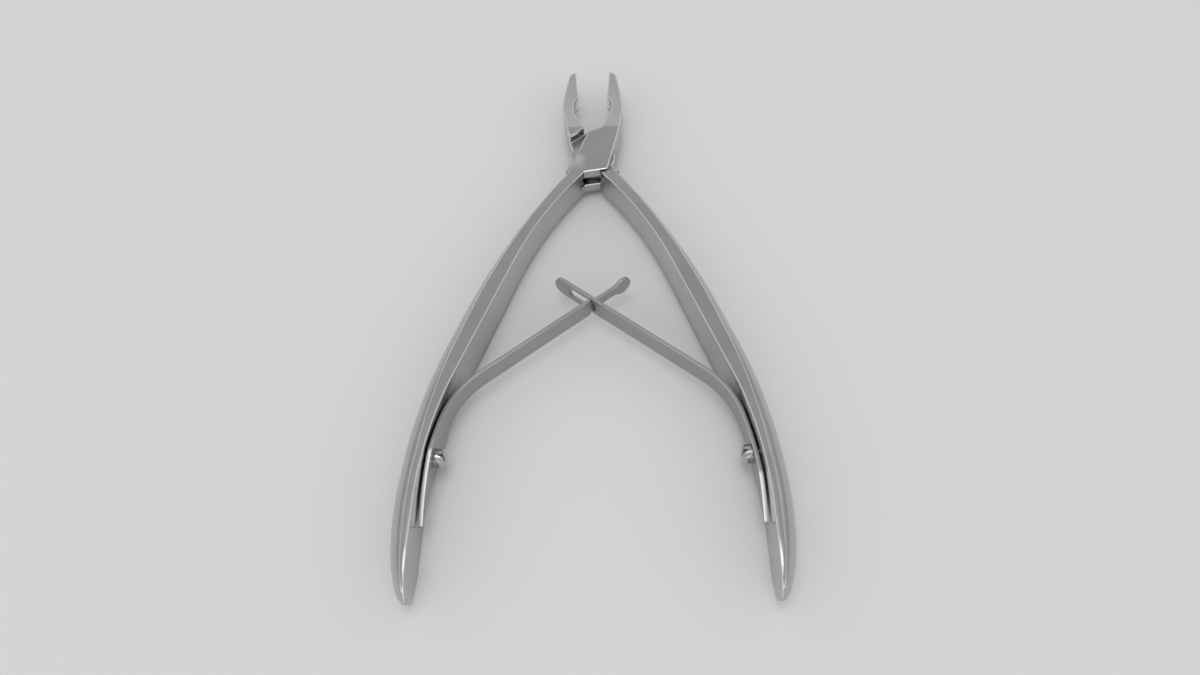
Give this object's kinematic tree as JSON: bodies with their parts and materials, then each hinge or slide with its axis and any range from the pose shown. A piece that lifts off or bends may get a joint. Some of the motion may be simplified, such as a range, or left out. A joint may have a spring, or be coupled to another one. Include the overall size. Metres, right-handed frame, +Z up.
{
  "type": "bone rongeur",
  "caption": "Small double-spring bone rongeur with cupped jaws, a box lock, two bowed handles and two crossed leaf springs, one passing through a slot in the other.",
  "frame": {"origin": "bottom centre of the bounding box, with the instrument lying flat and open", "axes": "+Y along the instrument from the handle ends to the jaws, +X to the right jaw, +Z up through the box lock along the pivot's axis"},
  "size_m": [0.0754, 0.1446, 0.0108],
  "materials": {
    "forged_steel": "satin brushed stainless steel",
    "spring_steel": "fine brushed spring steel",
    "polished_steel": "polished stainless steel"
  },
  "bodies": {
    "box_side": {"box_half": "forged_steel", "pivot_pin": "polished_steel", "left_spring_foot": "spring_steel", "left_spring_screw": "polished_steel"},
    "tongue_side": {"tongue_half": "forged_steel", "right_spring_foot": "spring_steel", "right_spring_screw": "polished_steel"},
    "left_leaf": {"left_spring_leaf": "spring_steel"},
    "right_leaf": {"right_spring_leaf": "spring_steel"}
  },
  "joints": [
    {"name": "pivot", "type": "hinge", "parent": "box_side", "child": "tongue_side", "pos_m": [0, 0.0395, 0.0054], "axis": [0, 0, -1], "range_deg": [0, 15.8], "stiffness_Nm_per_rad": 2.5},
    {"name": "left_leaf_flex", "type": "hinge", "parent": "box_side", "child": "left_leaf", "pos_m": [-0.02769, -0.02962, 0.0054], "axis": [0, 0, 1], "range_deg": [0, 14]},
    {"name": "right_leaf_flex", "type": "hinge", "parent": "tongue_side", "child": "right_leaf", "pos_m": [0.02769, -0.02962, 0.0054], "axis": [0, 0, -1], "range_deg": [0, 14]}
  ],
  "couplings": [
    {"joint": "left_leaf_flex", "follows": "pivot", "ratio": 0.85},
    {"joint": "right_leaf_flex", "follows": "pivot", "ratio": 0.85}
  ]
}
